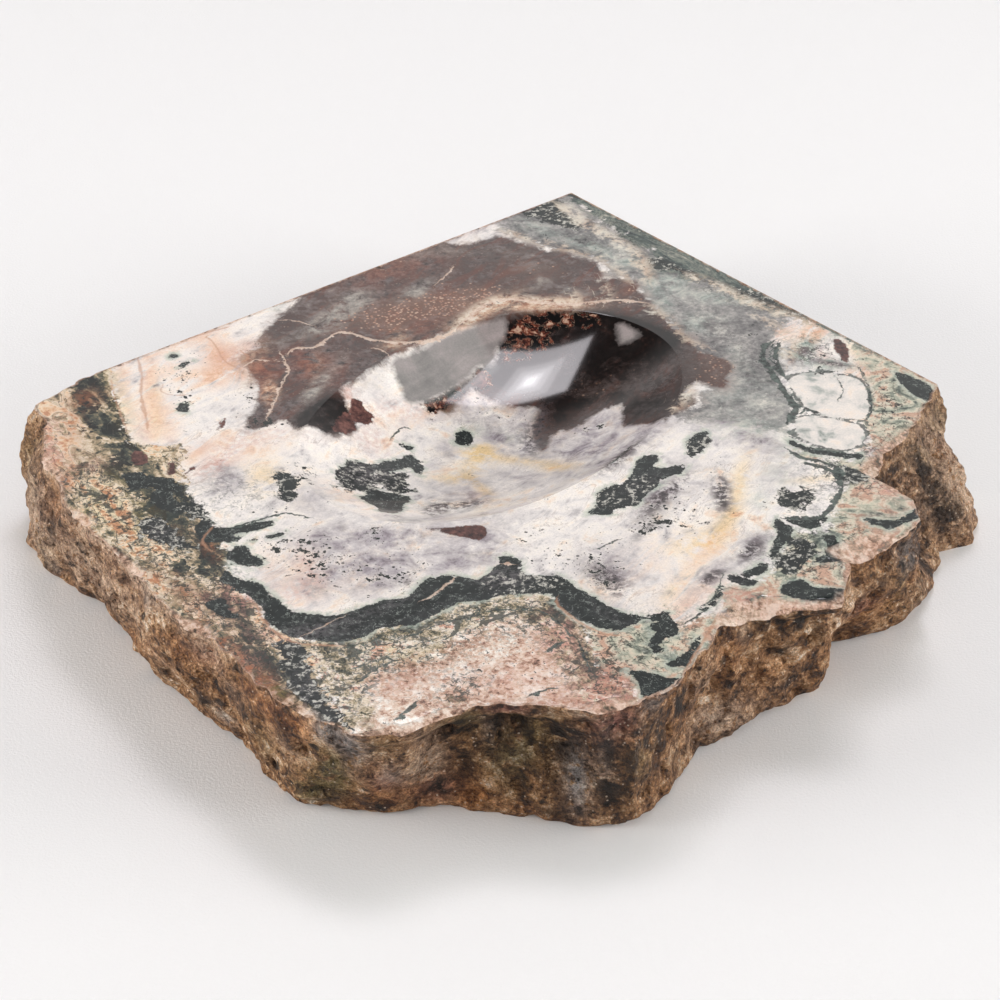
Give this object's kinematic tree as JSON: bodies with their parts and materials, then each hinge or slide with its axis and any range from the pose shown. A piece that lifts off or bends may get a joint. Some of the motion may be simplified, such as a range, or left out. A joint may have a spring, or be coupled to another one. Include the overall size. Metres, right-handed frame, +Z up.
{
  "type": "stone tray",
  "caption": "Rough-edged slab of polished patterned jasper, with an oval dish ground into its flat top to hold small things.",
  "frame": {"origin": "on the surface the tray rests on, under the middle of its bounding box", "axes": "+Z up; the square sawn corner points towards +Y and the rough front towards -Y; +X to the right of the front"},
  "size_m": [0.2389, 0.2479, 0.031],
  "materials": {
    "stone": "polished top and dish, rough brown broken sides"
  },
  "bodies": {
    "root": {"stone_tray": "stone"}
  },
  "joints": []
}
